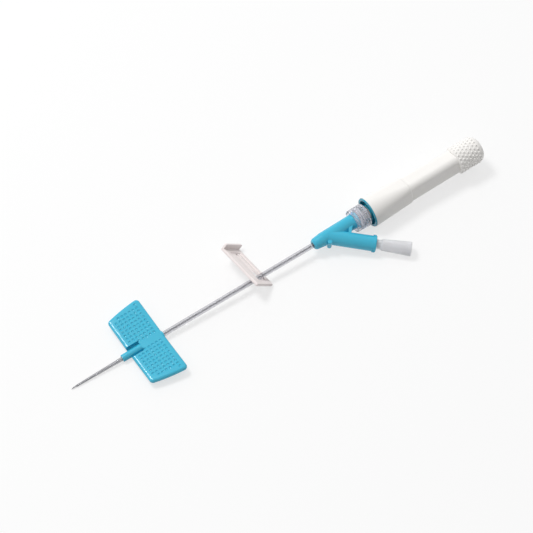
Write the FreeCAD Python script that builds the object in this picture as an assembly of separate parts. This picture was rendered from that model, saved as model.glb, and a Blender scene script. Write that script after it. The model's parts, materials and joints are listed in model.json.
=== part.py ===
import FreeCAD, Part
import math
import os

os.makedirs("parts", exist_ok=True)
V = FreeCAD.Vector

# A closed winged intravenous catheter set, ready for use.
# All lengths are millimetres. Every piece is built along one straight line, the line of
# the needle: x runs from the patient's end to the shield, and x = 0 is the front face of
# the hub's nose. At the end the whole set is laid on the table.

# Fits, and how far a cut runs past what it cuts
glue_gap = 0.02
needle_gap = 0.05
sleeve_gap = 0.15
luer_gap = 0.04
past = 1.0

# Needle and catheter
needle_r = 0.30
needle_bore_r = 0.17
needle_lead = 2.2
bevel_angle = 17.0
needle_plug = 2.0
catheter_length = 23.05
catheter_tip_r = 0.46
catheter_root_r = 0.85
catheter_tip_taper = 1.3
catheter_mouth_wall = 0.07
ferrule_wall = 0.20
ferrule_length = 3.4
ferrule_lead = 0.4
flare_setback = 0.5
flare_ramp = 1.0

# Wing hub
hub_r = 1.65
nose_length = 3.55
nose_round = 0.35
wing_chord = 17.0
wing_front_half = 17.8
wing_rear_half = 20.6
wing_thickness = 2.4
wing_corner_r = 1.7
wing_edge_r = 1.15
wing_side_bulge = 0.45
wing_dihedral = 2.5
trough_length = 6.0
trough_width = 1.05
trough_floor = 0.0
hub_collar = 0.1

# Extension tube
tube_r = 1.15
tube_bore_r = 0.55
tube_exposed = 77.75
tube_seat = 6.0

# Slide clamp
clamp_at = 48.9
clamp_length = 24.6
clamp_width = 12.4
clamp_thickness = 1.3
clamp_web = 0.7
clamp_rim = 2.4
clamp_offset = 0.6
clamp_tab_height = 2.3
clamp_tab_thickness = 1.2
clamp_round = 0.35
clamp_eye_from_end = 5.0
clamp_slot_end = 3.6
clamp_lean = 45.5
clamp_turn = 5.4
clamp_slot_gap = 0.30
clamp_throat_angle = 16.0
clamp_throat_length = 2.2

# Y adapter
y_nose_r = 2.0
y_arm_r = 3.15
y_arm_end_r = 3.45
y_cone_length = 5.0
y_shoulder = 0.9
y_shoulder_rise = 0.63
y_branch_at = 7.55
y_main_length = 23.4
y_side_length = 21.7
y_side_angle = 41.5
y_side_r = 3.35
y_side_end_r = 3.5
y_flow_r = 0.8
y_edge_round = 0.3
luer_depth = 8.5
luer_mouth_r = 2.15
luer_taper = 0.03
luer_tip_round = 0.2
luer_rim_r = 3.6
luer_rim_length = 1.3
lug_across = 7.83
lug_width = 2.7
lug_length = 1.7
lug_turn = 25.0
rib_share = 0.8
rib_thickness = 1.4
rib_height = 5.2
corner_post_r = 1.05
corner_post_height = 5.0
corner_post_out = 0.26

# Access port
port_cover = 2.45
collar_length = 6.9
collar_front_r = 5.15
collar_rear_r = 5.3
collar_bore_r = 4.2
collar_web = 1.4
collar_edge_round = 0.25
male_luer_length = 7.5
male_luer_bore_r = 1.0
port_neck_r = 3.3
port_neck_length = 3.3
septum_wall = 0.9
septum_floor = 0.6
septum_ring_length = 0.7
septum_ring_bore_r = 1.5

# Vent plug
plug_neck_r = 2.05
plug_neck_flare = 0.1
plug_shoulder_r = 2.6
plug_shoulder_ramp = 0.5
plug_standoff = 0.4
plug_end_r = 3.2
plug_body_length = 15.5
plug_shoulder_at = 2.2
plug_bore_r = 0.9
plug_cup_r = 2.3
plug_cup_depth = 3.4
plug_end_round = 0.3
filter_thickness = 1.4

# Needle shield
barrel_start = 1.7
barrel_length = 60.3
mouth_half = 7.1
mouth_corner_r = 6.95
step_half = 5.24
step_corner_r = 3.0
waist_front_half = 4.89
waist_rear_half = 4.68
waist_corner_r = 2.8
front_section_length = 20.0
step_length = 0.7
grip_length = 13.8
grip_r = 6.15
grip_taper = 0.12
grip_chamfer = 0.6
barrel_end_round = 2.6
barrel_end_wall = 1.6
barrel_bore_r = 4.25
barrel_turn = -15.0
mouth_bore_r = 6.6
ring_wall = 0.75
ring_round = 0.15
ring_lip_length = 0.5
ring_lip_inset = 0.15
sleeve_wall = 0.50
stop_height = 0.10
stop_length = 0.6
stagger = 0.3
cup_start = 1.2
cup_wall = 0.5
holder_length = 9.0
holder_seat = 0.8
holder_lead = 0.8
holder_lead_depth = 0.4
clip_thickness = 0.15
clip_length = 3.0
clip_width = 2.6
clip_rim = 0.6

# Stations along the line
wing_front_x = nose_length
wing_rear_x = wing_front_x + wing_chord
hub_rear_x = wing_rear_x + hub_collar
y_nose_x = hub_rear_x + tube_exposed
branch_x = y_nose_x + y_branch_at
y_mouth_x = y_nose_x + y_main_length
collar_front_x = y_mouth_x - port_cover
collar_rear_x = collar_front_x + collar_length
web_front_x = collar_rear_x - collar_web
neck_end_x = collar_rear_x + port_neck_length
barrel_x = collar_rear_x + barrel_start
barrel_end_x = barrel_x + barrel_length
step_x = barrel_x + front_section_length
grip_x = barrel_end_x - grip_length
bore_end_x = barrel_end_x - barrel_end_wall
holder_end_x = bore_end_x + holder_seat
needle_tip_x = -catheter_length - needle_lead
needle_end_x = bore_end_x
seat_start_x = hub_rear_x - tube_seat
seat_end_x = y_nose_x + tube_seat

# Radii of the nested sleeves, from the barrel's bore inwards
outer_r = barrel_bore_r - sleeve_gap
outer_bore_r = outer_r - sleeve_wall
middle_r = outer_bore_r - sleeve_gap
middle_bore_r = middle_r - sleeve_wall
inner_r = middle_bore_r - sleeve_gap
inner_bore_r = inner_r - sleeve_wall
holder_r = inner_bore_r - sleeve_gap

# Stations of the sleeves: each starts behind the stop of the one outside it
outer_rear_x = bore_end_x - stagger
middle_rear_x = outer_rear_x - stagger
cup_x = collar_rear_x + cup_start
inner_rear_x = middle_rear_x - stagger
cup_bore_r = port_neck_r + needle_gap
cup_r = cup_bore_r + cup_wall
shoulder_x = neck_end_x + sleeve_gap
inner_tube_x = shoulder_x + cup_wall
middle_x = inner_tube_x + sleeve_gap
ring_end_x = middle_x + ring_wall
clip_x = inner_tube_x + glue_gap


def turned(outline):
    """Turn a closed outline of (x, radius) corners about the line."""
    corners = [V(x, r, 0) for x, r in outline]
    face = Part.Face(Part.makePolygon(corners + corners[:1]))
    return face.revolve(V(0, 0, 0), V(1, 0, 0), 360)


def rod(start, end, radius):
    """Round bar along the line."""
    return Part.makeCylinder(radius, end - start, V(start, 0, 0), V(1, 0, 0))


def cone(start, end, start_r, end_r):
    """Tapered round bar along the line."""
    return Part.makeCone(start_r, end_r, end - start, V(start, 0, 0), V(1, 0, 0))


def block(low, high):
    """Box between two opposite corners."""
    size = high - low
    return Part.makeBox(size.x, size.y, size.z, low)


def round_rims(shape, rims, radius):
    """Round the circular edges about the line that lie at each (x, radius)."""
    chosen = []
    for edge in shape.Edges:
        if not isinstance(edge.Curve, Part.Circle):
            continue
        centre = edge.Curve.Center
        for x, r in rims:
            on_line = abs(centre.y) < 0.01 and abs(centre.z) < 0.01
            if on_line and abs(centre.x - x) < 0.01 and abs(edge.Curve.Radius - r) < 0.01:
                chosen.append(edge)
    return shape.makeFillet(radius, chosen)


def rounded_square(x, half, corner_r, turn):
    """Wire across the line: a square of the given half width with rounded corners."""
    flat = half - corner_r
    edges = []
    for quarter in range(4):
        mid = math.radians(90 * quarter + 45)
        centre = V(x, flat * math.copysign(1, math.cos(mid)), flat * math.copysign(1, math.sin(mid)))
        start, end = mid - math.pi / 4, mid + math.pi / 4
        arc = [centre + V(0, math.cos(a), math.sin(a)) * corner_r for a in (start, mid, end)]
        edges.append(Part.Arc(*arc).toShape())
    sides = []
    for quarter in range(4):
        here = edges[quarter].Vertexes[-1].Point
        there = edges[(quarter + 1) % 4].Vertexes[0].Point
        sides.append(Part.LineSegment(here, there).toShape())
    ring = [edge for pair in zip(edges, sides) for edge in pair]
    wire = Part.Wire(ring)
    wire.rotate(V(0, 0, 0), V(1, 0, 0), turn)
    return wire


def square_reach(half, corner_r, angle):
    """How far a rounded square reaches at an angle from the normal of one of its sides."""
    a = math.radians(angle)
    return (half - corner_r) * (abs(math.cos(a)) + abs(math.sin(a))) + corner_r


# Resting pose: the nose of the hub, the rim of the barrel and the end of the vent plug
# touch the table
mouth_reach = square_reach(mouth_half, mouth_corner_r, 45.0 - barrel_turn)
rest_pitch = math.degrees(math.atan((mouth_reach - hub_r) / (barrel_x - nose_round)))
sin_pitch = math.sin(math.radians(rest_pitch))
cos_pitch = math.cos(math.radians(rest_pitch))
line_height = hub_r * cos_pitch - nose_round * sin_pitch
side_reach = y_side_length + plug_body_length
side_cos = math.cos(math.radians(y_side_angle))
side_sin = math.sin(math.radians(y_side_angle))
plug_end_height = line_height + (branch_x + side_reach * side_cos) * sin_pitch
y_roll = math.degrees(math.asin((plug_end_height - plug_end_r) / (side_reach * side_sin * cos_pitch)))


def lay_down(shape):
    """Tip a piece from the line onto the table."""
    shape.rotate(V(0, 0, 0), V(0, 1, 0), -rest_pitch)
    shape.translate(V(0, 0, line_height))
    return shape


def to_side_arm(shape):
    """Swing a piece from the line to the side arm, whose own x starts at the branch."""
    shape.rotate(V(0, 0, 0), V(0, 0, 1), -y_side_angle)
    shape.translate(V(branch_x, 0, 0))
    return roll_y(shape)


def roll_y(shape):
    """Roll a piece of the adapter about the line, so that the side arm droops."""
    shape.rotate(V(0, 0, 0), V(1, 0, 0), y_roll)
    return shape


def introducer_needle():
    """Steel tube with a slanted bevel that faces up."""
    needle = rod(needle_tip_x, needle_end_x, needle_r)
    needle = needle.cut(rod(needle_tip_x - past, needle_end_x - needle_plug, needle_bore_r))
    bevel_length = 2 * needle_r / math.tan(math.radians(bevel_angle))
    wedge = Part.Face(
        Part.makePolygon(
            [
                V(needle_tip_x, -past, -needle_r),
                V(needle_tip_x - past, -past, -needle_r),
                V(needle_tip_x - past, -past, needle_r + past),
                V(needle_tip_x + bevel_length, -past, needle_r + past),
                V(needle_tip_x + bevel_length, -past, needle_r),
                V(needle_tip_x, -past, -needle_r),
            ]
        )
    ).extrude(V(0, 2 * past, 0))
    return needle.cut(wedge)


# Root of the catheter, where the ferrule spreads it inside the hub
flare_x = nose_length + flare_setback
catheter_bore_r = needle_r + needle_gap
ferrule_bore_r = catheter_bore_r
ferrule_r = ferrule_bore_r + ferrule_wall
flare_bore_r = ferrule_r + glue_gap
flare_r = catheter_root_r + ferrule_wall
flare_end_x = flare_x + ferrule_length


def catheter_tube():
    """Tapered catheter, close on the needle at its tip and spread over the ferrule at its root."""
    tip_x = -catheter_length
    return turned(
        [
            (tip_x, catheter_bore_r),
            (tip_x, catheter_bore_r + catheter_mouth_wall),
            (tip_x + catheter_tip_taper, catheter_tip_r),
            (0, catheter_root_r),
            (flare_x, catheter_root_r),
            (flare_x + flare_ramp, flare_r),
            (flare_end_x, flare_r),
            (flare_end_x, flare_bore_r),
            (flare_x + flare_ramp, flare_bore_r),
            (flare_x, catheter_bore_r),
        ]
    )


def catheter_ferrule():
    """Thin steel wedge with a flange at its rear."""
    start = flare_x + flare_ramp + glue_gap
    end = flare_end_x + glue_gap
    return turned(
        [
            (start, ferrule_bore_r),
            (start, ferrule_r - ferrule_wall / 2),
            (start + ferrule_lead, ferrule_r),
            (end, ferrule_r),
            (end, flare_r),
            (end + ferrule_wall, flare_r),
            (end + ferrule_wall, ferrule_bore_r),
        ]
    )


def wing(side):
    """One wing: a plate with a bowed end, rounded corners and soft edges. side is 1 or -1."""
    low = hub_r - wing_thickness
    front_root = V(wing_front_x, 0, low)
    front_tip = V(wing_front_x, side * wing_front_half, low)
    rear_tip = V(wing_rear_x, side * wing_rear_half, low)
    rear_root = V(wing_rear_x, 0, low)
    middle = (front_tip + rear_tip) * 0.5 + V(0, side * wing_side_bulge, 0)
    outline = Part.Wire(
        [
            Part.LineSegment(front_root, front_tip).toShape(),
            Part.Arc(front_tip, middle, rear_tip).toShape(),
            Part.LineSegment(rear_tip, rear_root).toShape(),
            Part.LineSegment(rear_root, front_root).toShape(),
        ]
    )
    plate = Part.Face(outline).extrude(V(0, 0, wing_thickness))
    corners = [
        edge
        for edge in plate.Edges
        if abs(edge.Vertexes[0].X - edge.Vertexes[-1].X) < 0.01
        and abs(edge.Vertexes[0].Y - edge.Vertexes[-1].Y) < 0.01
        and abs(edge.Vertexes[0].Y) > 1
    ]
    plate = plate.makeFillet(wing_corner_r, corners)
    faces = [face for face in plate.Faces if abs(abs(face.normalAt(0, 0).z) - 1) < 0.01]
    soft = []
    for face in faces:
        for edge in face.Edges:
            if max(abs(vertex.Y) for vertex in edge.Vertexes) > 0.01:
                soft.append(edge)
    plate = plate.makeFillet(wing_edge_r, soft)
    plate.rotate(V(0, 0, low), V(1, 0, 0), side * wing_dihedral)
    return plate


def wing_hub():
    """Hub and wings in one moulding, with a trough on each side of the ridge at the front."""
    body = wing(1).fuse(wing(-1))
    half = hub_r + trough_width
    trough_end_x = wing_front_x + trough_length
    trough = block(V(wing_front_x - past, -half, trough_floor), V(trough_end_x, half, hub_r + past))
    body = body.cut(trough)
    core = round_rims(rod(0, hub_rear_x, hub_r), [(0, hub_r)], nose_round)
    body = body.fuse(core)
    bores = [
        rod(-past, flare_x, catheter_root_r + glue_gap),
        cone(flare_x, flare_x + flare_ramp, catheter_root_r + glue_gap, flare_r + glue_gap),
        rod(flare_x + flare_ramp, flare_end_x + ferrule_wall + glue_gap, flare_r + glue_gap),
        rod(flare_end_x, seat_start_x, tube_bore_r),
        rod(seat_start_x, hub_rear_x + past, tube_r + glue_gap),
    ]
    for bore in bores:
        body = body.cut(bore)
    return body.removeSplitter()


def extension_tube():
    """Clear tube, glued into the hub and into the adapter."""
    start = seat_start_x + glue_gap
    end = seat_end_x - glue_gap
    return rod(start, end, tube_r).cut(rod(start - past, end + past, tube_bore_r))


# Clamp in its own frame: length along -y, width along x, thickness along z, with the
# origin at the middle of the eye that the tube passes through
lean = math.radians(clamp_lean)
tube_on_normal = math.sin(math.radians(clamp_lean + rest_pitch))
tube_on_width = math.cos(math.radians(clamp_lean + rest_pitch))


def slot_width(radius):
    """Width that a round bar needs where it slants through the clamp's web."""
    slanted = 2 * radius / tube_on_normal
    drift = clamp_web * tube_on_width / tube_on_normal
    return slanted + drift + clamp_slot_gap


eye_width = slot_width(tube_r)
pinch_width = slot_width(needle_r)
clamp_far_y = clamp_length - clamp_eye_from_end
pinch_travel = clamp_far_y - clamp_slot_end - clamp_tab_thickness


def slide_clamp():
    """Slotted plate with thick rims, thinned round the slot, and a finger tab at its far end."""
    low_x = -clamp_width / 2 - clamp_offset
    high_x = low_x + clamp_width
    half_t = clamp_thickness / 2
    near_y = -clamp_eye_from_end
    plate = block(V(low_x, near_y, -half_t), V(high_x, clamp_far_y, half_t))
    tab_base_y = clamp_far_y - clamp_tab_thickness
    tab = block(V(low_x, tab_base_y, 0), V(high_x, clamp_far_y, half_t + clamp_tab_height))
    plate = plate.fuse(tab).removeSplitter()
    outer_edges = []
    for edge in plate.Edges:
        middle = edge.CenterOfMass
        if abs(middle.y - tab_base_y) > 0.01 or middle.z > half_t + 0.01 + clamp_tab_height / 2:
            outer_edges.append(edge)
    plate = plate.makeFillet(clamp_round, outer_edges)
    recess_end = tab_base_y - clamp_rim
    for side in (1, -1):
        face_z = side * half_t
        web_z = side * clamp_web / 2
        low, high = min(face_z, web_z), max(face_z, web_z)
        up, down = (past, 0) if side > 0 else (0, past)
        recess = block(
            V(low_x + clamp_rim, near_y + clamp_rim, low - down),
            V(high_x - clamp_rim, recess_end, high + up),
        )
        plate = plate.cut(recess)
    eye = Part.makeCylinder(eye_width / 2, 4 * half_t, V(0, 0, -2 * half_t))
    far_end_y = pinch_travel + pinch_width / 2
    pinch = block(V(-pinch_width / 2, 0, -2 * half_t), V(pinch_width / 2, pinch_travel, 2 * half_t))
    round_end = Part.makeCylinder(pinch_width / 2, 4 * half_t, V(0, pinch_travel, -2 * half_t))
    throat_y = eye_width / 2 + clamp_throat_length
    leave = math.radians(clamp_throat_angle)
    leave_x, leave_y = eye_width / 2 * math.cos(leave), eye_width / 2 * math.sin(leave)
    throat = Part.Face(
        Part.makePolygon(
            [
                V(-leave_x, leave_y, -2 * half_t),
                V(-pinch_width / 2, throat_y, -2 * half_t),
                V(pinch_width / 2, throat_y, -2 * half_t),
                V(leave_x, leave_y, -2 * half_t),
                V(-leave_x, leave_y, -2 * half_t),
            ]
        )
    ).extrude(V(0, 0, 4 * half_t))
    slot = eye.fuse(pinch).fuse(round_end).fuse(throat)
    assert far_end_y < recess_end
    return plate.cut(slot)


def place_clamp(shape):
    """Lean the clamp on the tube, as it lies on the table."""
    shape.rotate(V(0, 0, 0), V(0, 1, 0), clamp_lean)
    shape.rotate(V(0, 0, 0), V(0, 0, 1), clamp_turn)
    at = hub_rear_x + clamp_at
    shape.translate(V(at * cos_pitch, 0, line_height + at * sin_pitch))
    return shape


def luer_socket(mouth_x):
    """Tapered bore of a female luer with its mouth at mouth_x."""
    depth_r = luer_mouth_r - luer_taper * luer_depth
    return cone(mouth_x - luer_depth, mouth_x, depth_r, luer_mouth_r)


def luer_rim(mouth_x):
    """Rim of a female luer, with the two lugs that a lock collar turns onto."""
    rim = rod(mouth_x - luer_rim_length, mouth_x, luer_rim_r)
    rim = round_rims(rim, [(mouth_x, luer_rim_r)], y_edge_round)
    lugs = block(
        V(mouth_x - lug_length, -lug_across / 2, -lug_width / 2),
        V(mouth_x - y_edge_round, lug_across / 2, lug_width / 2),
    )
    lugs = lugs.common(rod(mouth_x - lug_length, mouth_x, lug_across / 2))
    lugs.rotate(V(0, 0, 0), V(1, 0, 0), lug_turn)
    return rim.fuse(lugs)


def y_adapter():
    """Y of two round arms with luer mouths, a rib across the crotch and a post in the corner."""
    cone_end_x = y_nose_x + y_cone_length
    main = turned(
        [
            (y_nose_x, 0),
            (y_nose_x, y_nose_r),
            (y_nose_x + y_shoulder, y_nose_r + y_shoulder_rise),
            (cone_end_x, y_arm_r),
            (y_mouth_x - luer_rim_length / 2, y_arm_end_r),
            (y_mouth_x - luer_rim_length / 2, 0),
        ]
    )
    main = round_rims(main, [(y_nose_x, y_nose_r)], y_edge_round)
    main = main.fuse(luer_rim(y_mouth_x))
    side = cone(0, y_side_length - luer_rim_length / 2, y_side_r, y_side_end_r)
    side = side.fuse(luer_rim(y_side_length))
    side.rotate(V(0, 0, 0), V(0, 0, 1), -y_side_angle)
    side.translate(V(branch_x, 0, 0))
    side_turn = math.radians(y_side_angle)
    rib_at = rib_share * (y_main_length - y_branch_at) * math.cos(side_turn)
    rib_reach = rib_at * math.tan(side_turn)
    rib = block(
        V(rib_at - rib_thickness / 2, 0, -rib_height / 2),
        V(rib_at + rib_thickness / 2, rib_reach, rib_height / 2),
    )
    rib.rotate(V(0, 0, 0), V(0, 0, 1), -y_side_angle)
    rib.translate(V(branch_x, 0, 0))
    corner_y = -y_arm_r - corner_post_out
    post = Part.makeCylinder(
        corner_post_r, corner_post_height, V(branch_x - corner_post_r, corner_y, -corner_post_height / 2)
    )
    top_rim = [edge for edge in post.Edges if edge.Closed and edge.CenterOfMass.z > 0]
    post = post.makeFillet(y_edge_round, top_rim)
    body = main.fuse(side).fuse(rib).fuse(post)
    side_bores = [rod(0, y_side_length - luer_depth, y_flow_r), luer_socket(y_side_length)]
    for bore in side_bores:
        bore.rotate(V(0, 0, 0), V(0, 0, 1), -y_side_angle)
        bore.translate(V(branch_x, 0, 0))
    main_bores = [
        rod(y_nose_x - past, seat_end_x, tube_r + glue_gap),
        rod(seat_end_x, y_mouth_x - luer_depth, y_flow_r),
        luer_socket(y_mouth_x),
    ]
    for bore in side_bores + main_bores:
        body = body.cut(bore)
    return roll_y(body)


def male_luer(base_x, mouth_x, length):
    """Tapered luer tip that points to -x from base_x and fits the socket at mouth_x."""
    tip_x = base_x - length
    mouth_fit_r = luer_mouth_r - luer_gap
    tip_r = mouth_fit_r - luer_taper * (mouth_x - tip_x)
    tip = cone(tip_x, mouth_x, tip_r, mouth_fit_r)
    return round_rims(tip, [(tip_x, tip_r)], luer_tip_round).fuse(rod(mouth_x, base_x, mouth_fit_r))


septum_r = port_neck_r - septum_wall
septum_x = collar_rear_x + septum_floor
septum_end_x = neck_end_x - septum_ring_length


def port_body():
    """Clear port: a lock collar round a luer tip in front, and a neck for the septum behind."""
    shell = turned(
        [
            (collar_front_x, collar_bore_r),
            (collar_front_x, collar_front_r),
            (collar_rear_x - collar_web, collar_rear_r),
            (collar_rear_x, collar_rear_r),
            (collar_rear_x, port_neck_r),
            (neck_end_x, port_neck_r),
            (neck_end_x, septum_r),
            (septum_x, septum_r),
            (septum_x, male_luer_bore_r),
            (web_front_x, male_luer_bore_r),
            (web_front_x, collar_bore_r),
        ]
    )
    rims = [(collar_front_x, collar_front_r), (collar_rear_x, collar_rear_r)]
    shell = round_rims(shell, rims, collar_edge_round)
    tip_x = web_front_x - male_luer_length
    tip = male_luer(web_front_x, y_mouth_x, male_luer_length)
    tip = tip.cut(rod(tip_x - past, web_front_x + past, male_luer_bore_r))
    return shell.fuse(tip)


def port_septum():
    """Soft plug in the port's neck, closed round the needle."""
    plug = rod(septum_x + glue_gap, septum_end_x - glue_gap, septum_r - glue_gap)
    return plug.cut(rod(septum_x - past, septum_end_x + past, needle_r + needle_gap))


def septum_ring():
    """Ring that holds the septum in the neck."""
    ring = rod(septum_end_x, neck_end_x, septum_r - glue_gap)
    return ring.cut(rod(septum_end_x - past, neck_end_x + past, septum_ring_bore_r))


plug_base_x = y_side_length + plug_standoff
plug_tip_x = plug_base_x - male_luer_length
plug_end_x = y_side_length + plug_body_length
filter_end_x = plug_end_x - plug_cup_depth + filter_thickness


def vent_plug():
    """Flared plug with a luer tip, bored through and cupped at its end for the filter."""
    body = turned(
        [
            (plug_base_x, 0),
            (plug_base_x, plug_neck_r),
            (y_side_length + plug_shoulder_at, plug_neck_r + plug_neck_flare),
            (y_side_length + plug_shoulder_at + plug_shoulder_ramp, plug_shoulder_r),
            (plug_end_x, plug_end_r),
            (plug_end_x, 0),
        ]
    )
    body = round_rims(body, [(plug_end_x, plug_end_r)], plug_end_round)
    body = body.fuse(male_luer(plug_base_x, y_side_length, male_luer_length))
    body = body.cut(rod(plug_tip_x - past, plug_end_x, plug_bore_r))
    body = body.cut(rod(plug_end_x - plug_cup_depth, plug_end_x + past, plug_cup_r))
    return to_side_arm(body)


def vent_filter():
    """Porous disc at the bottom of the plug's cup."""
    disc = rod(plug_end_x - plug_cup_depth + glue_gap, filter_end_x, plug_cup_r - glue_gap)
    return to_side_arm(disc)


def sleeve(start, end, radius, bore_r, lip):
    """Sliding sleeve with a stop bead at its rear and, if lip is set, a lip in its mouth."""
    bead_x = end - stop_length
    mouth_r = bore_r - stop_height if lip else bore_r
    return turned(
        [
            (start, mouth_r),
            (start, radius),
            (bead_x - stop_height, radius),
            (bead_x, radius + stop_height),
            (end, radius + stop_height),
            (end, bore_r),
            (start + stop_length + stop_height, bore_r),
            (start + stop_length, mouth_r),
        ]
    )


def inner_sleeve():
    """Innermost sleeve, with a cup that grips the neck of the port."""
    cup = turned(
        [
            (cup_x, cup_bore_r),
            (cup_x, cup_r),
            (shoulder_x, cup_r),
            (inner_tube_x, cup_r - cup_wall),
            (inner_tube_x, inner_bore_r),
            (shoulder_x, inner_bore_r),
            (shoulder_x, cup_bore_r),
        ]
    )
    return cup.fuse(sleeve(shoulder_x, inner_rear_x, inner_r, inner_bore_r, False))


def tip_clip():
    """Spring clip: a washer with two leaves that lean in on the needle."""
    washer = rod(clip_x, clip_x + clip_thickness, inner_bore_r - glue_gap)
    leaves = []
    for side in (1, -1):
        root_z = side * (inner_bore_r - clip_rim)
        tip_z = side * (needle_r + needle_gap)
        step_z = side * clip_thickness
        leaf = Part.Face(
            Part.makePolygon(
                [
                    V(clip_x, -clip_width / 2, root_z),
                    V(clip_x + clip_length, -clip_width / 2, tip_z),
                    V(clip_x + clip_length, -clip_width / 2, tip_z + step_z),
                    V(clip_x, -clip_width / 2, root_z + step_z),
                    V(clip_x, -clip_width / 2, root_z),
                ]
            )
        ).extrude(V(0, clip_width, 0))
        leaves.append(leaf)
    clip = washer.fuse(leaves)
    return clip.cut(rod(clip_x - past, clip_x + clip_length + past, needle_r + needle_gap))


def middle_sleeve():
    """Second sleeve of the shield."""
    return sleeve(middle_x, middle_rear_x, middle_r, middle_bore_r, True)


def outer_sleeve():
    """Third sleeve, with the wide ring that fills the barrel's mouth and laps over its rim."""
    ring_r = mouth_bore_r - needle_gap
    ring_bore_r = ring_r - ring_wall
    lip_r = mouth_half - ring_lip_inset
    lip_end_x = barrel_x - needle_gap
    ring_x = lip_end_x - ring_lip_length
    ring = turned(
        [
            (ring_x, ring_bore_r),
            (ring_x, lip_r),
            (lip_end_x, lip_r),
            (lip_end_x, ring_r),
            (ring_end_x, ring_r),
            (ring_end_x, outer_bore_r),
            (ring_end_x - ring_wall, outer_bore_r),
            (ring_end_x - ring_wall, ring_bore_r),
        ]
    )
    ring = round_rims(ring, [(ring_x, lip_r), (ring_x, ring_bore_r)], ring_round)
    tube = sleeve(middle_x, outer_rear_x, outer_r, outer_bore_r, True)
    return ring.fuse(tube)


def barrel_span(front, rear):
    """Stretch of the barrel between two rounded squares, each (x, half, corner radius)."""
    wires = [rounded_square(*section, barrel_turn) for section in (front, rear)]
    return Part.makeLoft(wires, True, True)


def shield_barrel():
    """Barrel: a wide faceted front, a step to a slimmer waist and a round grip with a domed end."""
    front = barrel_span((barrel_x, mouth_half, mouth_corner_r), (step_x, step_half, step_corner_r))
    step = barrel_span(
        (step_x, step_half, step_corner_r), (step_x + step_length, waist_front_half, waist_corner_r)
    )
    waist = barrel_span(
        (step_x + step_length, waist_front_half, waist_corner_r),
        (grip_x + past, waist_rear_half, waist_corner_r),
    )
    grip = turned(
        [
            (grip_x, 0),
            (grip_x, grip_r - grip_chamfer),
            (grip_x + grip_chamfer, grip_r),
            (barrel_end_x, grip_r - grip_taper),
            (barrel_end_x, 0),
        ]
    )
    grip = round_rims(grip, [(barrel_end_x, grip_r - grip_taper)], barrel_end_round)
    body = front.fuse(step).fuse(waist).fuse(grip)
    counterbore_end_x = ring_end_x + sleeve_gap
    bore = turned(
        [
            (barrel_x - past, 0),
            (barrel_x - past, mouth_bore_r),
            (counterbore_end_x, mouth_bore_r),
            (counterbore_end_x, barrel_bore_r - stop_height),
            (counterbore_end_x + stop_length, barrel_bore_r - stop_height),
            (counterbore_end_x + stop_length + stop_height, barrel_bore_r),
            (bore_end_x, barrel_bore_r),
            (bore_end_x, holder_r + glue_gap),
            (holder_end_x + glue_gap, holder_r + glue_gap),
            (holder_end_x + glue_gap, 0),
        ]
    )
    return body.cut(bore)


def needle_holder():
    """Holder bonded to the end of the barrel, with the needle fixed in it."""
    body = turned(
        [
            (holder_end_x - holder_length, 0),
            (holder_end_x - holder_length, holder_r - holder_lead_depth),
            (holder_end_x - holder_length + holder_lead, holder_r),
            (holder_end_x, holder_r),
            (holder_end_x, 0),
        ]
    )
    return body.cut(rod(0, needle_end_x, needle_r + glue_gap))


# Travels of the sleeves, from stop to stop
barrel_travel = (outer_rear_x - stop_length) - (ring_end_x + sleeve_gap + stop_length) - 2 * stop_height
outer_travel = (middle_rear_x - stop_length) - (middle_x + stop_length) - 2 * stop_height
middle_travel = (inner_rear_x - stop_length) - (middle_x + stop_length) - 2 * stop_height
tip_cover = needle_tip_x + barrel_travel + outer_travel + middle_travel - clip_x - clip_length

on_the_line = {
    "introducer_needle": introducer_needle,
    "catheter_tube": catheter_tube,
    "catheter_ferrule": catheter_ferrule,
    "wing_hub": wing_hub,
    "extension_tube": extension_tube,
    "y_adapter": y_adapter,
    "port_body": port_body,
    "port_septum": port_septum,
    "septum_ring": septum_ring,
    "vent_plug": vent_plug,
    "vent_filter": vent_filter,
    "inner_sleeve": inner_sleeve,
    "tip_clip": tip_clip,
    "middle_sleeve": middle_sleeve,
    "outer_sleeve": outer_sleeve,
    "shield_barrel": shield_barrel,
    "needle_holder": needle_holder,
}
solids = {name: lay_down(make()) for name, make in on_the_line.items()}
solids["slide_clamp"] = place_clamp(slide_clamp())

# The origin is under the middle of the whole set, on the table
whole = Part.makeCompound(list(solids.values())).optimalBoundingBox(False)
origin_x = (whole.XMin + whole.XMax) / 2
origin_y = (whole.YMin + whole.YMax) / 2
for name, solid in solids.items():
    solid.translate(V(-origin_x, -origin_y, 0))
    box = solid.optimalBoundingBox(False)
    print(
        f"{name:18s} solids {len(solid.Solids)} valid {solid.isValid()} volume {solid.Volume:8.2f}"
        f" x {box.XMin:.1f} {box.XMax:.1f} y {box.YMin:.1f} {box.YMax:.1f} z {box.ZMin:.2f} {box.ZMax:.2f}"
    )
    solid.exportStep(f"parts/{name}.step")

print("pitch", round(rest_pitch, 3), "roll", round(y_roll, 3), "line height", round(line_height, 4))
print("origin", round(origin_x, 4), round(origin_y, 4))
print("travels", round(barrel_travel, 2), round(outer_travel, 2), round(middle_travel, 2))
print("needle tip behind the clip", round(tip_cover, 2))
print("pinch travel", round(pinch_travel, 2), "eye", round(eye_width, 2), "slot", round(pinch_width, 2))
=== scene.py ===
import json
import math

import bpy
from mathutils import Matrix, Vector

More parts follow.
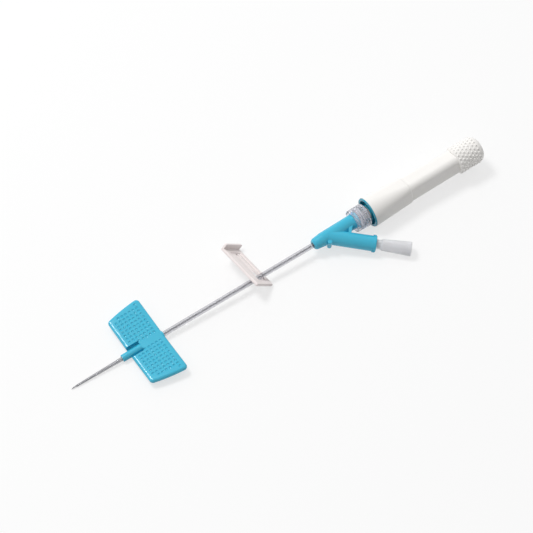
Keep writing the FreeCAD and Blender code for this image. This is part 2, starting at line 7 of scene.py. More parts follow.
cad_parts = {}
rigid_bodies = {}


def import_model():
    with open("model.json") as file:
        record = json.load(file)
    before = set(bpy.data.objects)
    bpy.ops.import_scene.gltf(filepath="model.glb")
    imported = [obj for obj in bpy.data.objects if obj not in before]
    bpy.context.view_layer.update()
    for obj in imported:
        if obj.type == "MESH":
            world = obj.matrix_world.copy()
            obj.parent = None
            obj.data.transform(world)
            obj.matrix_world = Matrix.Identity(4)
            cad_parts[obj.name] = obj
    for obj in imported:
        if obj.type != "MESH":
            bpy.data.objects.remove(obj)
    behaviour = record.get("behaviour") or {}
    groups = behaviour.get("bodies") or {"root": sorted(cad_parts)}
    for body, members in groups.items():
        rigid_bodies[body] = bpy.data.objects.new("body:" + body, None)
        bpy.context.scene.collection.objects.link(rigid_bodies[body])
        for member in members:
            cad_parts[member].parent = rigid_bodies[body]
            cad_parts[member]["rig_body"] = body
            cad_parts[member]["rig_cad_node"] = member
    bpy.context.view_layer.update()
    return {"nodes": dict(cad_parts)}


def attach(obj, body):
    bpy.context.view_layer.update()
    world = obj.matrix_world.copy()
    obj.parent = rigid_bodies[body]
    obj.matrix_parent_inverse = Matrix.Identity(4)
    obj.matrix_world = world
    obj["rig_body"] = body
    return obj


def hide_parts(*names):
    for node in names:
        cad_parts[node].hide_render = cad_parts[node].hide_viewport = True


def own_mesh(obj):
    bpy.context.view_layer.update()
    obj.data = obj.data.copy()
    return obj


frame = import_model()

bpy.context.scene.view_settings.view_transform = "Standard"


# The introducer needle: a thin tube of stainless steel, drawn, polished and ground to a
# bevel at its tip. It runs through the whole set and is glued in the holder at the rear.

line_pitch = -2.470
draw_stretch = (60, 5200, 5200)
draw_line_detail, draw_line_height = 3, 0.00002
polish_cloud_size = 260
steel_smoothest, steel_roughest = 0.16, 0.34


def new_skin(name, inputs):
    """An empty node group for a surface, with its named inputs and three outputs."""
    group = bpy.data.node_groups.new(name, "ShaderNodeTree")
    outputs = {
        "Colour": "NodeSocketColor",
        "Roughness": "NodeSocketFloat",
        "Normal": "NodeSocketVector",
    }
    for label, kind in inputs.items():
        group.interface.new_socket(name=label, in_out="INPUT", socket_type=kind)
    for label, kind in outputs.items():
        group.interface.new_socket(name=label, in_out="OUTPUT", socket_type=kind)
    return group, group.nodes.new("NodeGroupInput"), group.nodes.new("NodeGroupOutput")


def drawn_steel_skin():
    """Fine lines along the draw of the wire, and faint cloudy bands of polish."""
    group, given, made = new_skin(
        "drawn_steel_lines",
        {
            "Bright": "NodeSocketColor",
            "Dull": "NodeSocketColor",
            "Line Depth": "NodeSocketFloat",
        },
    )
    nodes, links = group.nodes, group.links
    place = nodes.new("ShaderNodeTexCoord")
    along = nodes.new("ShaderNodeMapping")
    along.inputs["Rotation"].default_value = (0, math.radians(-line_pitch), 0)
    along.inputs["Scale"].default_value = draw_stretch
    lines = nodes.new("ShaderNodeTexNoise")
    lines.inputs["Detail"].default_value = draw_line_detail
    cloud = nodes.new("ShaderNodeTexNoise")
    cloud.inputs["Scale"].default_value = polish_cloud_size
    tone = nodes.new("ShaderNodeMix")
    tone.data_type = "RGBA"
    rough = nodes.new("ShaderNodeMapRange")
    rough.inputs["To Min"].default_value = steel_smoothest
    rough.inputs["To Max"].default_value = steel_roughest
    bump = nodes.new("ShaderNodeBump")
    bump.inputs["Distance"].default_value = draw_line_height
    links.new(place.outputs["Object"], along.inputs["Vector"])
    links.new(along.outputs["Vector"], lines.inputs["Vector"])
    links.new(place.outputs["Object"], cloud.inputs["Vector"])
    links.new(cloud.outputs["Fac"], tone.inputs["Factor"])
    links.new(given.outputs["Dull"], tone.inputs["A"])
    links.new(given.outputs["Bright"], tone.inputs["B"])
    links.new(lines.outputs["Fac"], rough.inputs["Value"])
    links.new(lines.outputs["Fac"], bump.inputs["Height"])
    links.new(given.outputs["Line Depth"], bump.inputs["Strength"])
    links.new(tone.outputs["Result"], made.inputs["Colour"])
    links.new(rough.outputs["Result"], made.inputs["Roughness"])
    links.new(bump.outputs["Normal"], made.inputs["Normal"])
    return group


def new_finish(name, group, skin_values, shader_values=None):
    """A material whose shader takes its changing values from one placed skin."""
    material = bpy.data.materials.new(name)
    material.use_nodes = True
    tree = material.node_tree
    shader = tree.nodes["Principled BSDF"]
    skin = tree.nodes.new("ShaderNodeGroup")
    skin.node_tree = group
    for label, value in skin_values.items():
        skin.inputs[label].default_value = value
    for label, value in (shader_values or {}).items():
        shader.inputs[label].default_value = value
    tree.links.new(skin.outputs["Colour"], shader.inputs["Base Color"])
    tree.links.new(skin.outputs["Roughness"], shader.inputs["Roughness"])
    tree.links.new(skin.outputs["Normal"], shader.inputs["Normal"])
    return material


def dress(thing, material):
    """Give an object one material in place of those it has."""
    thing.data.materials.clear()
    thing.data.materials.append(material)


drawn_steel = drawn_steel_skin()
needle_steel = new_finish(
    "needle_steel",
    drawn_steel,
    {"Bright": (0.30, 0.30, 0.31, 1), "Dull": (0.21, 0.21, 0.22, 1), "Line Depth": 0.06},
    {"Metallic": 1.0},
)
dress(frame["nodes"]["introducer_needle"], needle_steel)


# The catheter: a soft translucent tube drawn over the needle, tapered to a thin mouth at
# its tip. It is extruded, and its root is flared over a steel wedge inside the hub.

clear_haze_detail, clear_ripple_height = 4, 0.00006


def plastic_skin(name, cloud_detail, grain_height):
    """Plastic: a cloudy tone, patches of gloss, and a fine grain or shallow ripples."""
    group, given, made = new_skin(
        name,
        {
            "Tone": "NodeSocketColor",
            "Deep Tone": "NodeSocketColor",
            "Cloud Size": "NodeSocketFloat",
            "Grain Size": "NodeSocketFloat",
            "Grain Depth": "NodeSocketFloat",
            "Glossiest": "NodeSocketFloat",
            "Dullest": "NodeSocketFloat",
        },
    )
    nodes, links = group.nodes, group.links
    place = nodes.new("ShaderNodeTexCoord")
    cloud = nodes.new("ShaderNodeTexNoise")
    cloud.inputs["Detail"].default_value = cloud_detail
    grain = nodes.new("ShaderNodeTexNoise")
    tone = nodes.new("ShaderNodeMix")
    tone.data_type = "RGBA"
    rough = nodes.new("ShaderNodeMapRange")
    bump = nodes.new("ShaderNodeBump")
    bump.inputs["Distance"].default_value = grain_height
    links.new(place.outputs["Object"], cloud.inputs["Vector"])
    links.new(place.outputs["Object"], grain.inputs["Vector"])
    links.new(given.outputs["Cloud Size"], cloud.inputs["Scale"])
    links.new(given.outputs["Grain Size"], grain.inputs["Scale"])
    links.new(cloud.outputs["Fac"], tone.inputs["Factor"])
    links.new(given.outputs["Tone"], tone.inputs["A"])
    links.new(given.outputs["Deep Tone"], tone.inputs["B"])
    links.new(cloud.outputs["Fac"], rough.inputs["Value"])
    links.new(given.outputs["Glossiest"], rough.inputs["To Min"])
    links.new(given.outputs["Dullest"], rough.inputs["To Max"])
    links.new(grain.outputs["Fac"], bump.inputs["Height"])
    links.new(given.outputs["Grain Depth"], bump.inputs["Strength"])
    links.new(tone.outputs["Result"], made.inputs["Colour"])
    links.new(rough.outputs["Result"], made.inputs["Roughness"])
    links.new(bump.outputs["Normal"], made.inputs["Normal"])
    return group


def paint_outline_shade(material, outline_shade, blend):
    """Paint shade into a clear piece's colour at its outline, where one looks along the wall.
    """
    tree = material.node_tree
    colour = tree.nodes["Principled BSDF"].inputs["Base Color"]
    skin_colour = colour.links[0].from_socket
    slant = tree.nodes.new("ShaderNodeLayerWeight")
    slant.inputs["Blend"].default_value = blend
    tone = tree.nodes.new("ShaderNodeMix")
    tone.data_type = "RGBA"
    tone.inputs["B"].default_value = outline_shade
    tree.links.new(slant.outputs["Facing"], tone.inputs["Factor"])
    tree.links.new(skin_colour, tone.inputs["A"])
    tree.links.new(tone.outputs["Result"], colour)


clear_skin = plastic_skin("clear_plastic_skin", clear_haze_detail, clear_ripple_height)
catheter_plastic = new_finish(
    "catheter_plastic",
    clear_skin,
    {
        "Tone": (0.78, 0.78, 0.80, 1),
        "Deep Tone": (0.70, 0.70, 0.73, 1),
        "Cloud Size": 160.0,
        "Grain Size": 300.0,
        "Grain Depth": 0.02,
        "Glossiest": 0.24,
        "Dullest": 0.32,
    },
    {"Transmission Weight": 0.60, "IOR": 1.25},
)
# Painted shade: the catheter's colour turns nearly black towards its outline.
paint_outline_shade(catheter_plastic, outline_shade=(0.12, 0.12, 0.14, 1), blend=0.50)
dress(frame["nodes"]["catheter_tube"], catheter_plastic)


# The ferrule: a short stainless wedge, pressed and turned, that is pushed into the root of
# the catheter and pins it in the hub's bore.

ferrule_steel = new_finish(
    "ferrule_steel",
    drawn_steel,
    {"Bright": (0.62, 0.62, 0.60, 1), "Dull": (0.48, 0.47, 0.45, 1), "Line Depth": 0.4},
    {"Metallic": 1.0},
)
dress(frame["nodes"]["catheter_ferrule"], ferrule_steel)


# The hub and its wings: one moulding in soft turquoise plastic. A ridge covers the bore, a
# trough lies on each side of it, hollowed at its rear corner, and rows of small pits keep
# the fingers from slipping.

moulded_cloud_detail, moulded_grain_height = 5, 0.00003
wing_front_at, wing_rear_at = 3.55, 20.55
wing_front_half, wing_rear_half = 17.8, 20.6
wing_top_at_middle, wing_dihedral = 1.652, 2.5
wing_rise = math.tan(math.radians(wing_dihedral))
wing_crease = 32
pit_long, pit_wide, pit_tall, pit_lift = 0.70, 0.64, 0.54, 0.18
first_pit_at, pits_per_row, pit_chord_pitch = 6.45, 7, 1.88
first_row_at, pit_rows, pit_span_pitch = 2.4, 10, 1.745
pit_margin = 2.0
trough_edge, trough_rear, trough_margin = 2.7, 9.55, 0.6
scoop_out, scoop_back, scoop_lift = 2.15, 0.05, 0.30
scoop_long, scoop_wide, scoop_tall = 1.35, 1.0, 1.55
weld_gap = 0.000002

# Pieces are made in millimetres along the needle's line, from the front of the hub's nose,
# and then laid on the table in metres.
mm = 0.001
line_start = (-0.0815064, 0.003086, 0.0016334)
line_frame = (
    Matrix.Translation(line_start)
    @ Matrix.Rotation(math.radians(line_pitch), 4, "Y")
    @ Matrix.Scale(mm, 4)
)


def only(*things):
    """Select these objects and nothing else; the first is active."""
    bpy.ops.object.select_all(action="DESELECT")
    for thing in things:
        thing.select_set(True)
    bpy.context.view_layer.objects.active = things[0]


def name_piece(thing, name):
    """Give an object and its mesh one name."""
    thing.name = name
    thing.data.name = name


def lay_on_line(thing):
    """Carry a piece made along the needle's line, in mm, to where it lies on the table."""
    thing.matrix_world = line_frame @ thing.matrix_world
    only(thing)
    bpy.ops.object.transform_apply(location=True, rotation=True, scale=True)


def copy_at(thing, matrix):
    """A copy of an object with its own mesh, at another place."""
    twin = thing.copy()
    twin.data = thing.data.copy()
    bpy.context.scene.collection.objects.link(twin)
    twin.matrix_world = matrix
    return twin


def join_all(name, things):
    """Join objects into one with this name."""
    only(*things)
    bpy.ops.object.join()
    name_piece(things[0], name)
    return things[0]


def merged_copy(node, name):
    """A copy of a CAD node with its loose triangles merged, to be cut or shaped further."""
    only(frame["nodes"][node])
    bpy.ops.object.duplicate()
    twin = bpy.context.view_layer.objects.active
    name_piece(twin, name)
    twin.parent = None
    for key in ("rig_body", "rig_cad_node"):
        if key in twin:
            del twin[key]
    only(twin)
    bpy.ops.mesh.customdata_custom_splitnormals_clear()
    bpy.ops.object.mode_set(mode="EDIT")
    bpy.ops.mesh.select_all(action="SELECT")
    bpy.ops.mesh.remove_doubles(threshold=weld_gap)
    bpy.ops.object.mode_set(mode="OBJECT")
    return twin


def wing_tip_at(along):
    """Distance from the middle line to a wing's end, at a place along the chord."""
    share = (along - wing_front_at) / (wing_rear_at - wing_front_at)
    return wing_front_half + (wing_rear_half - wing_front_half) * share


bpy.ops.object.select_all(action="DESELECT")
bpy.ops.mesh.primitive_uv_sphere_add(segments=12, ring_count=8, radius=1)
pit_tool = bpy.context.object
pit_tool.scale = (pit_long, pit_wide, pit_tall)
only(pit_tool)
bpy.ops.object.transform_apply(location=False, rotation=False, scale=True)
pit_tools = []
for side in (1, -1):
    for row in range(pit_rows):
        for place in range(pits_per_row):
            along = first_pit_at + place * pit_chord_pitch
            across = first_row_at + row * pit_span_pitch
            past_wing_tip = across > wing_tip_at(along) - pit_margin
            beside_ridge = across < trough_edge + trough_margin
            if past_wing_tip or (beside_ridge and along < trough_rear + trough_margin):
                continue
            top = wing_top_at_middle + across * wing_rise
            spot = Matrix.Translation((along, side * across, top + pit_lift))
            pit_tools.append(copy_at(pit_tool, spot))
for side in (1, -1):
    corner = (trough_rear - scoop_back, side * scoop_out, wing_top_at_middle + scoop_lift)
    stretch = Matrix.Diagonal((scoop_long, scoop_wide, scoop_tall, 1))
    pit_tools.append(copy_at(pit_tool, Matrix.Translation(corner) @ stretch))
bpy.data.objects.remove(pit_tool)
pits = join_all("wing_pit_tools", pit_tools)
lay_on_line(pits)

wings = merged_copy("wing_hub", "wings_with_finger_pits")
only(wings)
bpy.ops.object.modifier_add(type="BOOLEAN")
pit_cut = wings.modifiers[-1]
pit_cut.operation = "DIFFERENCE"
pit_cut.solver = "EXACT"
pit_cut.use_self = True
pit_cut.object = pits
bpy.ops.object.modifier_apply(modifier=pit_cut.name)
bpy.data.objects.remove(pits)
only(wings)
bpy.ops.object.shade_smooth_by_angle(angle=math.radians(wing_crease))

moulded_skin = plastic_skin(
    "moulded_plastic_skin", moulded_cloud_detail, moulded_grain_height
)
turquoise = new_finish(
    "turquoise_plastic",
    moulded_skin,
    {
        "Tone": (0.046, 0.485, 0.675, 1),
        "Deep Tone": (0.033, 0.430, 0.620, 1),
        "Cloud Size": 140.0,
        "Grain Size": 2600.0,
        "Grain Depth": 0.18,
        "Glossiest": 0.14,
        "Dullest": 0.20,
    },
    {
        "Subsurface Weight": 0.12,
        "Subsurface Radius": (0.0004, 0.0010, 0.0012),
        "Subsurface Scale": 1.0,
    },
)
dress(wings, turquoise)
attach(wings, "catheter")
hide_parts("wing_hub")
dress(frame["nodes"]["wing_hub"], turquoise)


# The extension tube: clear soft tubing from the hub to the adapter, cut to length and
# glued in at both ends. The short length in the clamp's slot, which the clamp pinches flat,
# is made as a piece of its own.

tube_r, tube_bore_r, tube_sides, tube_crease = 1.15, 0.55, 40, 40
tube_start, tube_end = 14.67, 104.38
clamp_at, pinch_half = 69.55, 2.0

tube_plastic = new_finish(
    "tube_plastic",
    clear_skin,
    {
        "Tone": (0.93, 0.93, 0.95, 1),
        "Deep Tone": (0.86, 0.86, 0.89, 1),
        "Cloud Size": 120.0,
        "Grain Size": 200.0,
        "Grain Depth": 0.04,
        "Glossiest": 0.14,
        "Dullest": 0.20,
    },
    {"Transmission Weight": 0.92, "IOR": 1.25},
)
# Painted shade: the tube's colour turns nearly black towards its outline.
paint_outline_shade(tube_plastic, outline_shade=(0.16, 0.16, 0.19, 1), blend=0.50)


def tube_run(name, start, end):
    """A length of the tube: a round shell along the line, given its wall and closed ends."""
    bpy.ops.object.select_all(action="DESELECT")
    bpy.ops.mesh.primitive_cylinder_add(
        vertices=tube_sides,
        radius=tube_r,
        depth=end - start,
        end_fill_type="NOTHING",
        location=((start + end) / 2, 0, 0),
        rotation=(0, math.radians(90), 0),
    )
    run = bpy.context.object
    name_piece(run, name)
    lay_on_line(run)
    bpy.ops.object.modifier_add(type="SOLIDIFY")
    wall = run.modifiers[-1]
    wall.thickness = (tube_r - tube_bore_r) * mm
    wall.offset = -1
    wall.use_even_offset = True
    bpy.ops.object.modifier_apply(modifier=wall.name)
    bpy.ops.object.shade_smooth_by_angle(angle=math.radians(tube_crease))
    dress(run, tube_plastic)
    return run


front_run = tube_run("tube_hub_to_clamp", tube_start, clamp_at - pinch_half)
pinch_run = tube_run("tube_in_clamp_slot", clamp_at - pinch_half, clamp_at + pinch_half)
rear_run = tube_run("tube_clamp_to_adapter", clamp_at + pinch_half, tube_end)
for run in (front_run, pinch_run, rear_run):
    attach(run, "catheter")
    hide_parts("extension_tube")
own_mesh(pinch_run)
dress(frame["nodes"]["extension_tube"], tube_plastic)


# The slide clamp: one thin moulding in white plastic that hangs on the tube by its slot.
# It is pushed across the tube to shut it, with a finger on the tab at its far end.

clamp_plastic = new_finish(
    "clamp_plastic",
    moulded_skin,
    {
        "Tone": (0.90, 0.825, 0.815, 1),
        "Deep Tone": (0.85, 0.77, 0.755, 1),
        "Cloud Size": 150.0,
        "Grain Size": 3000.0,
        "Grain Depth": 0.2,
        "Glossiest": 0.35,
        "Dullest": 0.5,
    },
)
dress(frame["nodes"]["slide_clamp"], clamp_plastic)


# The Y adapter: one moulding in the same turquoise plastic, with a socket at the end of
# each arm. The tube is glued in its nose, and the port is screwed on its main arm.

dress(frame["nodes"]["y_adapter"], turquoise)


# The vent plug: a milky translucent stopper pushed into the side arm, with a porous white
# disc in its hollow end that lets air out and holds blood back.

plug_plastic = new_finish(
    "plug_plastic",
    clear_skin,
    {
        "Tone": (0.95, 0.955, 0.985, 1),
        "Deep Tone": (0.90, 0.905, 0.94, 1),
        "Cloud Size": 160.0,
        "Grain Size": 500.0,
        "Grain Depth": 0.2,
        "Glossiest": 0.30,
        "Dullest": 0.45,
    },
    {
        "Transmission Weight": 0.45,
        "IOR": 1.49,
        "Subsurface Weight": 0.4,
        "Subsurface Radius": (0.001, 0.001, 0.001),
    },
)
dress(frame["nodes"]["vent_plug"], plug_plastic)

filter_fibre = new_finish(
    "filter_fibre",
    moulded_skin,
    {
        "Tone": (0.86, 0.86, 0.85, 1),
        "Deep Tone": (0.66, 0.66, 0.66, 1),
        "Cloud Size": 2400.0,
        "Grain Size": 5200.0,
        "Grain Depth": 0.9,
        "Glossiest": 0.85,
        "Dullest": 1.0,
    },
)
dress(frame["nodes"]["vent_filter"], filter_fibre)


# The access port: a clear hard moulding with a taper and a ringed screw collar in front,
# and a soft disc behind, held by a ring. The needle goes through the disc, which closes
# when it is gone. The collar is screwed on the adapter's main arm.

rib_places = (122.3, 123.3, 124.6, 125.6)
rib_sunk_r, rib_thick, rib_squeeze = 5.20, 0.19, 0.9
collar_front, collar_bore = 119.35, 4.2
thread_lead, thread_height, thread_foot = 5.0, 0.24, 0.8
thread_turn, thread_steps, thread_setback, thread_sunk = 315, 44, 0.6, 0.05
thread_weld_gap, thread_crease = 0.0005, 30

clear_plastic = new_finish(
    "clear_plastic",
    clear_skin,
    {
        "Tone": (0.96, 0.95, 0.98, 1),
        "Deep Tone": (0.92, 0.905, 0.94, 1),
        "Cloud Size": 150.0,
        "Grain Size": 300.0,
        "Grain Depth": 0.04,
        "Glossiest": 0.20,
        "Dullest": 0.28,
    },
    {"Transmission Weight": 0.84, "IOR": 1.14},
)
# Painted shade: the port's colour turns a darker grey towards its outline.
paint_outline_shade(clear_plastic, outline_shade=(0.64, 0.66, 0.72, 1), blend=0.26)
dress(frame["nodes"]["port_body"], clear_plastic)

bpy.ops.object.select_all(action="DESELECT")
bpy.ops.mesh.primitive_torus_add(
    major_segments=72, minor_segments=10, major_radius=rib_sunk_r, minor_radius=rib_thick
)
collar_rib = bpy.context.object
bpy.ops.object.mode_set(mode="EDIT")
bpy.ops.mesh.select_all(action="SELECT")
bpy.ops.transform.resize(value=(1, 1, rib_squeeze))
bpy.ops.object.mode_set(mode="OBJECT")
round_the_line = Matrix.Rotation(math.radians(90), 4, "Y")
collar_ribs = [
    copy_at(collar_rib, Matrix.Translation((at, 0, 0)) @ round_the_line) for at in rib_places
]
bpy.data.objects.remove(collar_rib)
ribs = join_all("collar_ribs", collar_ribs)
lay_on_line(ribs)
bpy.ops.object.shade_smooth()
rib_plastic = new_finish(
    "collar_rib_plastic",
    clear_skin,
    {
        "Tone": (0.84, 0.86, 0.92, 1),
        "Deep Tone": (0.78, 0.80, 0.86, 1),
        "Cloud Size": 150.0,
        "Grain Size": 300.0,
        "Grain Depth": 0.02,
        "Glossiest": 0.06,
        "Dullest": 0.12,
    },
    {"Transmission Weight": 0.55, "IOR": 1.49},
)
dress(ribs, rib_plastic)
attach(ribs, "port")

# One start of the collar's inner thread: a low three-sided ridge screwed along the bore.
bpy.ops.object.select_all(action="DESELECT")
bpy.ops.mesh.primitive_circle_add(vertices=3, radius=thread_foot / 2, fill_type="NGON")
thread_start = bpy.context.object
foot_r, crest_r = collar_bore + thread_sunk, collar_bore - thread_height
ridge_corners = [(foot_r, -thread_foot / 2), (crest_r, 0), (foot_r, thread_foot / 2)]
for vertex, (out, along) in zip(thread_start.data.vertices, ridge_corners):
    vertex.co = (out, 0, along)
only(thread_start)
bpy.ops.object.modifier_add(type="SCREW")
screw = thread_start.modifiers[-1]
screw.axis = "Z"
screw.angle = math.radians(thread_turn)
screw.screw_offset = thread_lead * thread_turn / 360
screw.steps = screw.render_steps = thread_steps
screw.use_normal_calculate = True
bpy.ops.object.modifier_apply(modifier=screw.name)
bpy.ops.object.mode_set(mode="EDIT")
bpy.ops.mesh.select_all(action="SELECT")
bpy.ops.mesh.remove_doubles(threshold=thread_weld_gap)
bpy.ops.mesh.fill_holes(sides=3)
bpy.ops.mesh.normals_make_consistent(inside=False)
bpy.ops.object.mode_set(mode="OBJECT")
for name, turn in (("collar_thread_start_one", 0), ("collar_thread_start_two", 180)):
    start_place = Matrix.Translation((collar_front + thread_setback, 0, 0))
    turned = Matrix.Rotation(math.radians(turn), 4, "X")
    thread = copy_at(thread_start, start_place @ turned @ round_the_line)
    name_piece(thread, name)
    lay_on_line(thread)
    bpy.ops.object.shade_smooth_by_angle(angle=math.radians(thread_crease))
    dress(thread, clear_plastic)
    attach(thread, "port")
bpy.data.objects.remove(thread_start)

septum_rubber = new_finish(
    "septum_rubber",
    moulded_skin,
    {
        "Tone": (0.70, 0.66, 0.55, 1),
        "Deep Tone": (0.60, 0.56, 0.46, 1),
        "Cloud Size": 300.0,
        "Grain Size": 2200.0,
        "Grain Depth": 0.3,
        "Glossiest": 0.55,
        "Dullest": 0.75,
    },
)
dress(frame["nodes"]["port_septum"], septum_rubber)

ring_plastic = new_finish(
    "ring_plastic",
    moulded_skin,
    {
        "Tone": (0.78, 0.78, 0.76, 1),
        "Deep Tone": (0.70, 0.70, 0.69, 1),
        "Cloud Size": 260.0,
        "Grain Size": 2600.0,
        "Grain Depth": 0.2,
        "Glossiest": 0.4,
        "Dullest": 0.55,
    },
)
dress(frame["nodes"]["septum_ring"], ring_plastic)


# The sleeves of the needle shield: three thin mouldings that slide out of the barrel one
# after the other, the outer one turquoise and the middle one pale. The inner one wears the
# same deep turquoise, which also paints the shade deep in the barrel's mouth. A bent steel
# clip in the inner one bars the way once the needle's tip is drawn behind it.

sleeve_turquoise_and_mouth_shade = new_finish(
    "sleeve_turquoise_and_mouth_shade",
    moulded_skin,
    {
        "Tone": (0.014, 0.36, 0.50, 1),
        "Deep Tone": (0.010, 0.29, 0.42, 1),
        "Cloud Size": 180.0,
        "Grain Size": 2600.0,
        "Grain Depth": 0.12,
        "Glossiest": 0.10,
        "Dullest": 0.22,
    },
)
dress(frame["nodes"]["outer_sleeve"], sleeve_turquoise_and_mouth_shade)

sleeve_plastic = new_finish(
    "sleeve_plastic",
    moulded_skin,
    {
        "Tone": (0.64, 0.68, 0.69, 1),
        "Deep Tone": (0.56, 0.61, 0.62, 1),
        "Cloud Size": 160.0,
        "Grain Size": 2400.0,
        "Grain Depth": 0.15,
        "Glossiest": 0.25,
        "Dullest": 0.4,
    },
    {"Subsurface Weight": 0.2, "Subsurface Radius": (0.001, 0.001, 0.001)},
)
dress(frame["nodes"]["middle_sleeve"], sleeve_plastic)
# Painted shade: the inner sleeve takes the deep turquoise so that the barrel's mouth reads
# dark.
dress(frame["nodes"]["inner_sleeve"], sleeve_turquoise_and_mouth_shade)

clip_steel = new_finish(
    "clip_steel",
    drawn_steel,
    {"Bright": (0.66, 0.66, 0.66, 1), "Dull": (0.54, 0.54, 0.54, 1), "Line Depth": 0.3},
    {"Metallic": 1.0},
)
dress(frame["nodes"]["tip_clip"], clip_steel)


# The barrel of the needle shield: one long white moulding that the hand pulls back. Its
# mouth is nearly round, its waist nearly square, and its rear a round dotted grip.

grip_front, grip_rear = 174.45, 188.25
grip_front_r, grip_rear_r = 6.15, 6.03
bump_r, bump_height, bump_sink, bump_cut, bump_crease = 0.55, 0.44, 0.14, 0.001, 50
bump_rings, bumps_round, bump_pitch, first_ring = 7, 22, 1.62, 175.5

white_plastic = new_finish(
    "white_plastic",
    moulded_skin,
    {
        "Tone": (0.89, 0.875, 0.85, 1),
        "Deep Tone": (0.86, 0.84, 0.815, 1),
        "Cloud Size": 70.0,
        "Grain Size": 2200.0,
        "Grain Depth": 0.15,
        "Glossiest": 0.24,
        "Dullest": 0.34,
    },
    {"Subsurface Weight": 0.08, "Subsurface Radius": (0.001, 0.001, 0.001)},
)
dress(frame["nodes"]["shield_barrel"], white_plastic)

bpy.ops.object.select_all(action="DESELECT")
bpy.ops.mesh.primitive_uv_sphere_add(segments=10, ring_count=6, radius=1)
grip_bump = bpy.context.object
grip_bump.scale = (bump_r, bump_r, bump_height + bump_sink)
only(grip_bump)
bpy.ops.object.transform_apply(location=False, rotation=False, scale=True)
bpy.ops.object.mode_set(mode="EDIT")
bpy.ops.mesh.select_all(action="SELECT")
bpy.ops.mesh.bisect(
    plane_co=(0, 0, bump_cut), plane_no=(0, 0, 1), clear_inner=True, use_fill=True
)
bpy.ops.object.mode_set(mode="OBJECT")
grip_bumps = []
for ring in range(bump_rings):
    along = first_ring + ring * bump_pitch
    share = (along - grip_front) / (grip_rear - grip_front)
    out = grip_front_r + (grip_rear_r - grip_front_r) * share - bump_sink
    half_step = 0.5 * (ring % 2)
    for step in range(bumps_round):
        turn = 2 * math.pi * (step + half_step) / bumps_round
        spot = (
            Matrix.Translation((along, 0, 0))
            @ Matrix.Rotation(turn, 4, "X")
            @ Matrix.Translation((0, 0, out))
        )
        grip_bumps.append(copy_at(grip_bump, spot))
bpy.data.objects.remove(grip_bump)
bumps = join_all("grip_bumps", grip_bumps)
lay_on_line(bumps)
bpy.ops.object.shade_smooth_by_angle(angle=math.radians(bump_crease))
dress(bumps, white_plastic)
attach(bumps, "shield")


# The needle holder: a small plug of plastic glued in the rear of the barrel. The needle
# is glued in it, so that needle and barrel move as one.

holder_plastic = new_finish(
    "holder_plastic",
    moulded_skin,
    {
        "Tone": (0.78, 0.78, 0.78, 1),
        "Deep Tone": (0.70, 0.70, 0.71, 1),
        "Cloud Size": 220.0,
        "Grain Size": 2400.0,
        "Grain Depth": 0.2,
        "Glossiest": 0.35,
        "Dullest": 0.5,
    },
)
dress(frame["nodes"]["needle_holder"], holder_plastic)


# The white table that the set lies on: a wide smooth sheet, just under the wings and the
# barrel. It takes the set's shadow, and otherwise reads as plain white.

table_width, table_drop, table_white_share = 8, 0.00002, 0.66

bpy.ops.object.select_all(action="DESELECT")
bpy.ops.mesh.primitive_plane_add(size=table_width, location=(0, 0, -table_drop))
table = bpy.context.object
table.name = "white_table"
table_white = new_finish(
    "table_white",
    moulded_skin,
    {
        "Tone": (0.90, 0.90, 0.90, 1),
        "Deep Tone": (0.89, 0.89, 0.89, 1),
        "Cloud Size": 6.0,
        "Grain Size": 900.0,
        "Grain Depth": 0.0,
        "Glossiest": 0.9,
        "Dullest": 0.95,
    },
    {"Specular IOR Level": 0.0},
)


def seen_mask(tree):
    """A mask: 1 for what is seen, straight, mirrored or through plastic, 0 for what lights."""
    sight = tree.nodes.new("ShaderNodeLightPath")
    mask = sight.outputs["Is Camera Ray"]
    for ray in ("Is Glossy Ray", "Is Transmission Ray"):
        either = tree.nodes.new("ShaderNodeMath")
        either.operation = "MAXIMUM"
        tree.links.new(mask, either.inputs[0])
        tree.links.new(sight.outputs[ray], either.inputs[1])
        mask = either.outputs["Value"]
    return mask


def whiten_where_seen(material, share):
    """Lay plain white over a share of a sheet, for how it is seen and not how it lights."""
    tree = material.node_tree
    part = tree.nodes.new("ShaderNodeMath")
    part.operation = "MULTIPLY"
    part.inputs[1].default_value = share
    white = tree.nodes.new("ShaderNodeEmission")
    white.inputs["Strength"].default_value = 1.0
    lay = tree.nodes.new("ShaderNodeMixShader")
    tree.links.new(seen_mask(tree), part.inputs[0])
    tree.links.new(part.outputs["Value"], lay.inputs["Fac"])
    tree.links.new(tree.nodes["Principled BSDF"].outputs["BSDF"], lay.inputs[1])
    tree.links.new(white.outputs["Emission"], lay.inputs[2])
    tree.links.new(lay.outputs["Shader"], tree.nodes["Material Output"].inputs["Surface"])


whiten_where_seen(table_white, table_white_share)
dress(table, table_white)


# The light: a pale room, brighter above and beyond the set than on the camera's side, and
# one square soft lamp over the far side, which draws the shine on the wings' front edges.

sky_bright_way = (0.0, 0.66, 0.75)
sky_dim_from, sky_bright_from = -0.45, 0.95
sky_dim, sky_bright = 0.14, 0.72
lamp_way, lamp_away, lamp_width, lamp_watts = (-0.17, 0.45, 0.88), 1.2, 0.30, 8.0

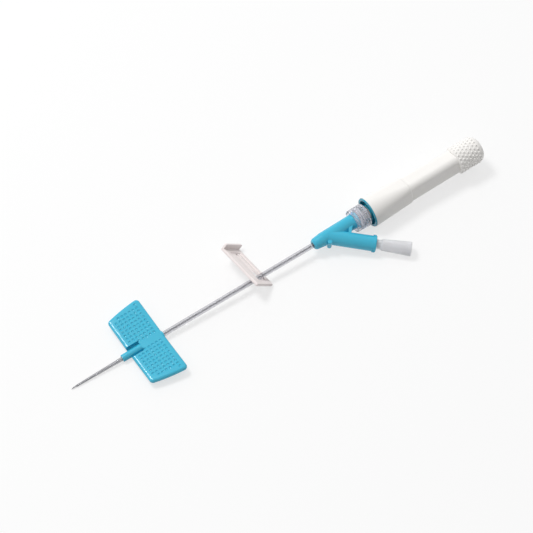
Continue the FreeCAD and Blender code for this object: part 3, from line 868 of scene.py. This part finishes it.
room = bpy.data.worlds.new("studio_white")
bpy.context.scene.world = room
room.use_nodes = True
room_nodes, room_links = room.node_tree.nodes, room.node_tree.links
sky = room_nodes["Background"]
sky.inputs["Color"].default_value = (1, 1, 1, 1)
sky_place = room_nodes.new("ShaderNodeTexCoord")
sky_slope = room_nodes.new("ShaderNodeVectorMath")
sky_slope.operation = "DOT_PRODUCT"
sky_slope.inputs[1].default_value = sky_bright_way
sky_fade = room_nodes.new("ShaderNodeMapRange")
sky_fade.interpolation_type = "SMOOTHSTEP"
sky_fade.inputs["From Min"].default_value = sky_dim_from
sky_fade.inputs["From Max"].default_value = sky_bright_from
sky_fade.inputs["To Min"].default_value = sky_dim
sky_fade.inputs["To Max"].default_value = sky_bright
sky_strength = room_nodes.new("ShaderNodeMath")
sky_strength.operation = "MAXIMUM"
room_links.new(sky_place.outputs["Generated"], sky_slope.inputs[0])
room_links.new(sky_slope.outputs["Value"], sky_fade.inputs["Value"])
room_links.new(sky_fade.outputs["Result"], sky_strength.inputs[0])
room_links.new(seen_mask(room.node_tree), sky_strength.inputs[1])
room_links.new(sky_strength.outputs["Value"], sky.inputs["Strength"])

lamp = bpy.data.lights.new("key_lamp", "AREA")
lamp.shape = "SQUARE"
lamp.size = lamp_width
lamp.energy = lamp_watts
lamp_holder = bpy.data.objects.new("key_lamp", lamp)
bpy.context.scene.collection.objects.link(lamp_holder)
lamp_direction = Vector(lamp_way).normalized()
lamp_holder.location = lamp_direction * lamp_away
lamp_holder.rotation_mode = "QUATERNION"
lamp_holder.rotation_quaternion = lamp_direction.to_track_quat("Z", "Y")


# The camera: it looks down on the set from the patient's end and the near side, with the
# long lens and at the slant of the photograph, found by fitting the set's own points.

view_turn, view_height = math.radians(-33.8612), math.radians(57.5146)
view_away, view_lens, film_width = 0.909, 141.2, 36
nearest_seen, farthest_seen = 0.05, 20
view_middle, slide_right, slide_up = Vector((-0.006756, 0.003086, 0.003)), -0.00080, 0.00329

view_back = Vector(
    (
        math.sin(view_turn) * math.cos(view_height),
        -math.cos(view_turn) * math.cos(view_height),
        math.sin(view_height),
    )
)
view_right = Vector((math.cos(view_turn), math.sin(view_turn), 0))
view_up = view_back.cross(view_right)
view_aim = view_middle + slide_right * view_right + slide_up * view_up
camera = bpy.data.objects.new("camera", bpy.data.cameras.new("camera"))
bpy.context.scene.collection.objects.link(camera)
camera.data.lens = view_lens
camera.data.sensor_width = film_width
camera.data.clip_start = nearest_seen
camera.data.clip_end = farthest_seen
camera.matrix_world = (
    Matrix.Translation(view_aim + view_away * view_back)
    @ Matrix((view_right, view_up, view_back)).transposed().to_4x4()
)
bpy.context.scene.camera = camera
